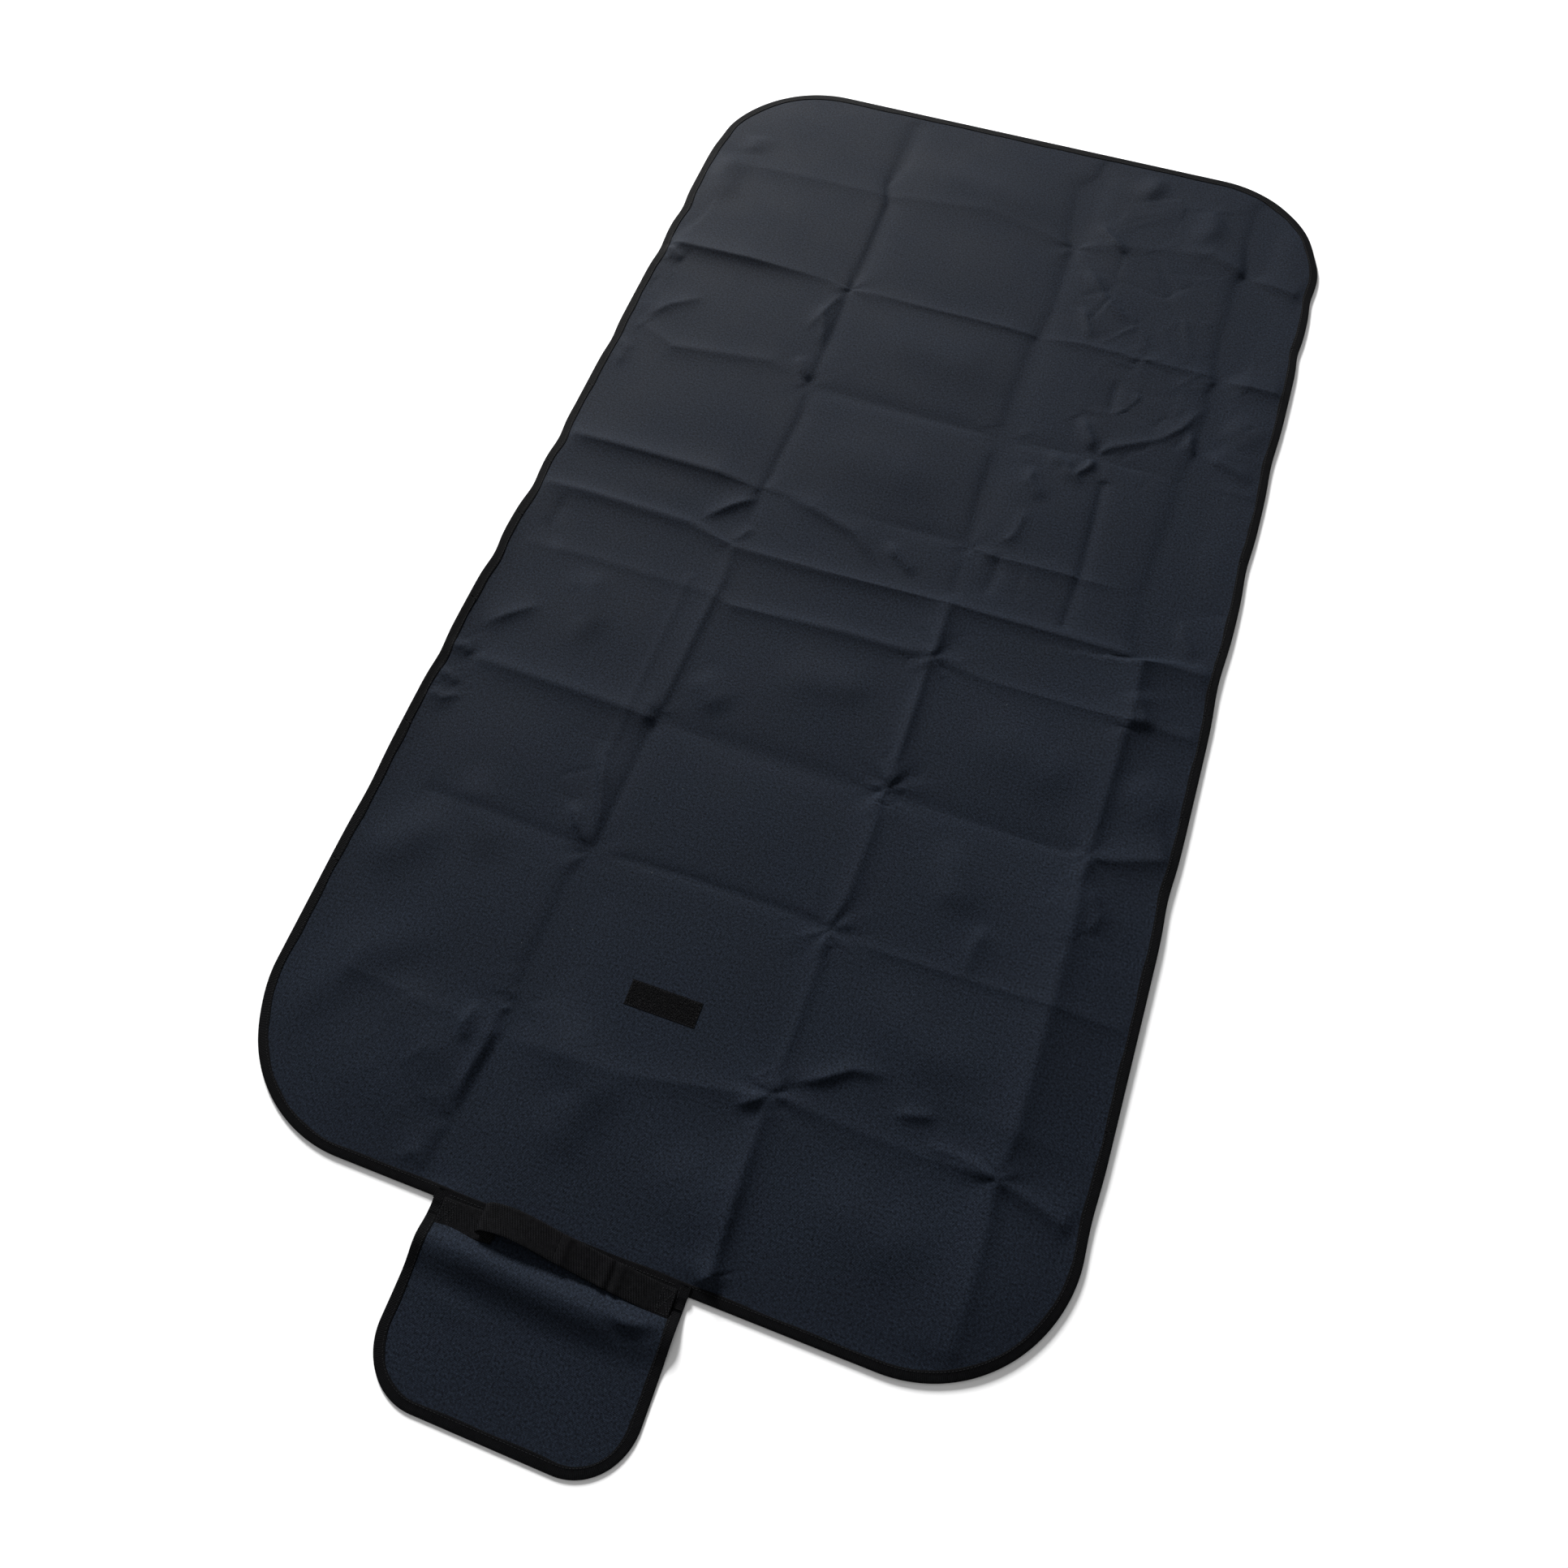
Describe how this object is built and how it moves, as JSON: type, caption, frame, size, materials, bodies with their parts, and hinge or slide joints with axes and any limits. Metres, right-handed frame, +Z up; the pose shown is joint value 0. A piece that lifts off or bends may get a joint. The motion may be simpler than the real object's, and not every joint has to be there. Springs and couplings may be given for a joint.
{
  "type": "padded folding mat",
  "caption": "Thin padded fold-up mat with bound edges, a closing flap with hook and loop tape and a webbing carry handle.",
  "frame": {"origin": "under the middle of the whole outline, mat and flap, on the surface that the mat lies on", "axes": "+X across the mat's width, +Y along its length to the end away from the flap, +Z up out of the outer cloth"},
  "size_m": [0.8, 1.63, 0.0149],
  "materials": {
    "outer_cloth": "coated oxford weave, soft sheen",
    "lining_cloth": "smooth coated taffeta, semi-matt",
    "foam": "closed-cell foam sheet, matt",
    "binding_tape": "grosgrain ribbed tape, matt",
    "loop_tape": "fuzzy loop pile, matt",
    "hook_tape": "small plastic hooks on a woven tape",
    "webbing": "twill-woven webbing, satin",
    "thread": "polyester sewing thread, satin"
  },
  "bodies": {
    "row_1": {"face_cloth_row_1": "outer_cloth", "foam_row_1": "foam", "lining_cloth_row_1": "lining_cloth", "edge_binding_row_1": "binding_tape", "flap_seam_strip": "outer_cloth", "flap_seam_stitches": "thread"},
    "row_2": {"face_cloth_row_2": "outer_cloth", "foam_row_2": "foam", "lining_cloth_row_2": "lining_cloth", "edge_binding_row_2": "binding_tape", "loop_tape": "loop_tape", "loop_tape_stitches": "thread"},
    "row_3": {"face_cloth_row_3": "outer_cloth", "foam_row_3": "foam", "lining_cloth_row_3": "lining_cloth", "edge_binding_row_3": "binding_tape"},
    "row_4": {"face_cloth_row_4": "outer_cloth", "foam_row_4": "foam", "lining_cloth_row_4": "lining_cloth", "edge_binding_row_4": "binding_tape"},
    "row_5": {"face_cloth_row_5": "outer_cloth", "foam_row_5": "foam", "lining_cloth_row_5": "lining_cloth", "edge_binding_row_5": "binding_tape"},
    "row_6": {"face_cloth_row_6": "outer_cloth", "foam_row_6": "foam", "lining_cloth_row_6": "lining_cloth", "edge_binding_row_6": "binding_tape"},
    "row_7": {"face_cloth_row_7": "outer_cloth", "foam_row_7": "foam", "lining_cloth_row_7": "lining_cloth", "edge_binding_row_7": "binding_tape"},
    "row_8": {"face_cloth_row_8": "outer_cloth", "foam_row_8": "foam", "lining_cloth_row_8": "lining_cloth", "edge_binding_row_8": "binding_tape"},
    "row_9": {"face_cloth_row_9": "outer_cloth", "foam_row_9": "foam", "lining_cloth_row_9": "lining_cloth", "edge_binding_row_9": "binding_tape"},
    "row_10": {"face_cloth_row_10": "outer_cloth", "foam_row_10": "foam", "lining_cloth_row_10": "lining_cloth", "edge_binding_row_10": "binding_tape"},
    "flap_spine": {"flap_root_cloth": "outer_cloth", "flap_root_lining": "lining_cloth", "flap_root_binding": "binding_tape", "handle_ends": "webbing", "handle_bartacks": "thread"},
    "flap_panel": {"flap_cloth": "outer_cloth", "flap_lining": "lining_cloth", "flap_binding": "binding_tape", "hook_tape": "hook_tape", "hook_tape_stitches": "thread"},
    "handle": {"handle_webbing": "webbing"}
  },
  "joints": [
    {"name": "crease_3_4", "type": "hinge", "parent": "row_4", "child": "row_3", "pos_m": [0, -0.159, -0.0049], "axis": [1, 0, 0], "range_deg": [0, 179.98]},
    {"name": "crease_2_3", "type": "hinge", "parent": "row_3", "child": "row_2", "pos_m": [0, -0.319, -0.0073], "axis": [1, 0, 0], "range_deg": [0, 179.98]},
    {"name": "crease_1_2", "type": "hinge", "parent": "row_2", "child": "row_1", "pos_m": [0, -0.479, -0.0097], "axis": [1, 0, 0], "range_deg": [0, 179.98]},
    {"name": "crease_4_5", "type": "hinge", "parent": "row_4", "child": "row_5", "pos_m": [0, 0.001, -0.0025], "axis": [-1, 0, 0], "range_deg": [0, 179.98]},
    {"name": "half_fold_5_6", "type": "hinge", "parent": "row_5", "child": "row_6", "pos_m": [0, 0.081, -0.0001], "axis": [-1, 0, 0], "range_deg": [0, 179.98]},
    {"name": "crease_6_7", "type": "hinge", "parent": "row_6", "child": "row_7", "pos_m": [0, 0.161, 0.0023], "axis": [1, 0, 0], "range_deg": [0, 179.98]},
    {"name": "crease_7_8", "type": "hinge", "parent": "row_7", "child": "row_8", "pos_m": [0, 0.321, 0.0047], "axis": [1, 0, 0], "range_deg": [0, 179.98]},
    {"name": "crease_8_9", "type": "hinge", "parent": "row_8", "child": "row_9", "pos_m": [0, 0.481, 0.0071], "axis": [1, 0, 0], "range_deg": [0, 179.98]},
    {"name": "crease_9_10", "type": "hinge", "parent": "row_9", "child": "row_10", "pos_m": [0, 0.641, 0.0095], "axis": [1, 0, 0], "range_deg": [0, 179.98]},
    {"name": "flap_root_fold", "type": "hinge", "parent": "row_1", "child": "flap_spine", "pos_m": [-0.035, -0.6536, 0.0022], "axis": [1, 0, 0], "range_deg": [0, 90]},
    {"name": "flap_edge_fold", "type": "hinge", "parent": "flap_spine", "child": "flap_panel", "pos_m": [-0.035, -0.6788, 0.0022], "axis": [1, 0, 0], "range_deg": [0, 90]},
    {"name": "handle_lift", "type": "slide", "parent": "flap_spine", "child": "handle", "axis": [0, 0, 1], "range_m": [0, 0.035]}
  ]
}
